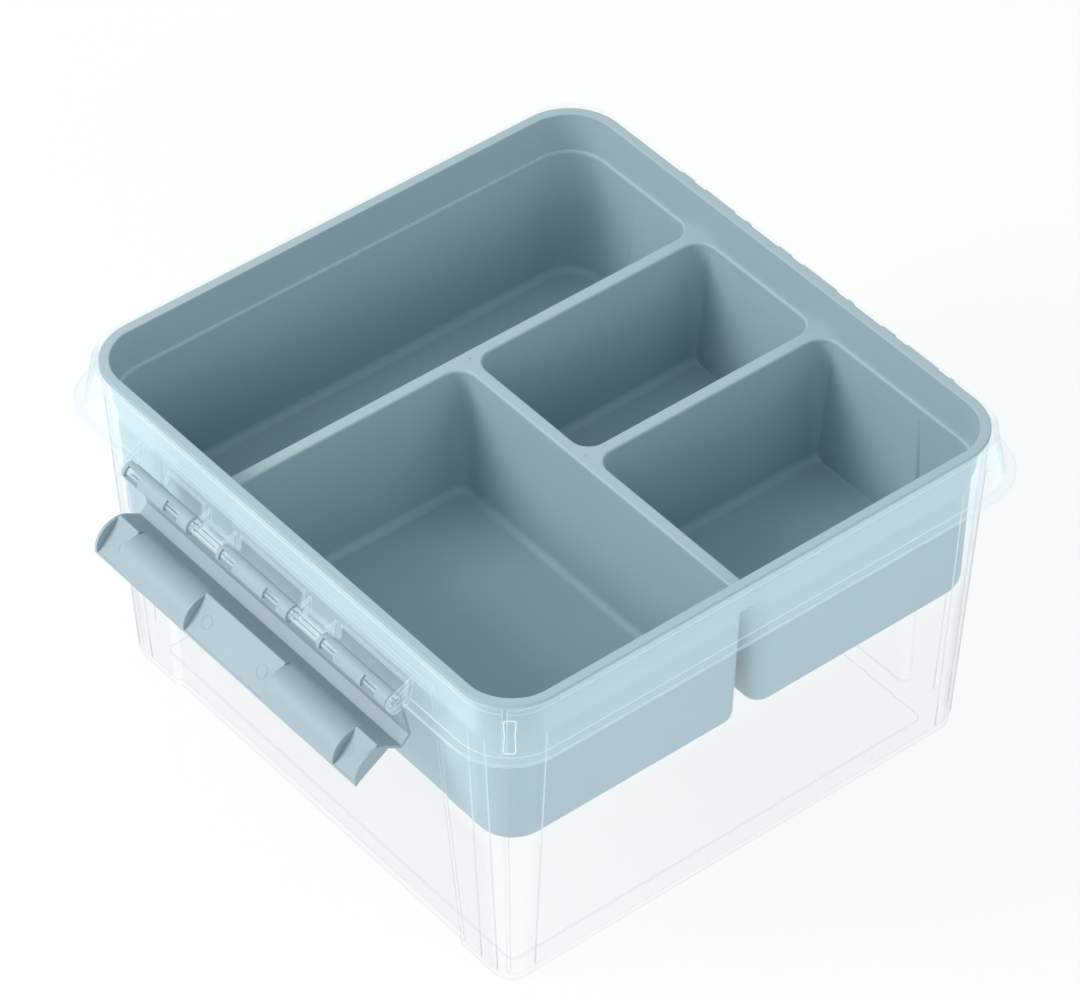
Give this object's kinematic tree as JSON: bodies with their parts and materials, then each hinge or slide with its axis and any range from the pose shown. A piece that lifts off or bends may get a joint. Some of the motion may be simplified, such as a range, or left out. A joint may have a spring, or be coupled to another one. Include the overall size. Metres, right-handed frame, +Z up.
{
  "type": "storage box",
  "caption": "Clear tapered storage box with a flared rim, a removable insert split into four compartments, and a swinging clip handle on each side",
  "frame": {"origin": "middle of the box's resting face, on the surface it stands on", "axes": "+Z up out of the opening; X across the box from one clip handle to the other; +Y towards the long compartment, the plain front wall faces -Y"},
  "size_m": [0.4804, 0.4336, 0.243],
  "materials": {
    "clear_plastic": "clear polypropylene, glossy, a little milky",
    "insert_plastic": "blue-grey polypropylene, fine matt grain",
    "clip_plastic": "blue-grey polypropylene, fine matt grain"
  },
  "bodies": {
    "box": {"storage_box": "clear_plastic"},
    "insert": {"insert_tray": "insert_plastic"},
    "clip_left": {"clip_handle_left": "clip_plastic"},
    "clip_right": {"clip_handle_right": "clip_plastic"}
  },
  "joints": [
    {"name": "insert_lift", "type": "slide", "parent": "box", "child": "insert", "axis": [0, 0, 1], "range_m": [0, 0.16]},
    {"name": "clip_left_swing", "type": "hinge", "parent": "box", "child": "clip_left", "pos_m": [-0.2118, 0, 0.2126], "axis": [0, 1, 0], "range_deg": [-20, 176]},
    {"name": "clip_right_swing", "type": "hinge", "parent": "box", "child": "clip_right", "pos_m": [0.2118, 0, 0.2126], "axis": [0, -1, 0], "range_deg": [-20, 176]}
  ]
}
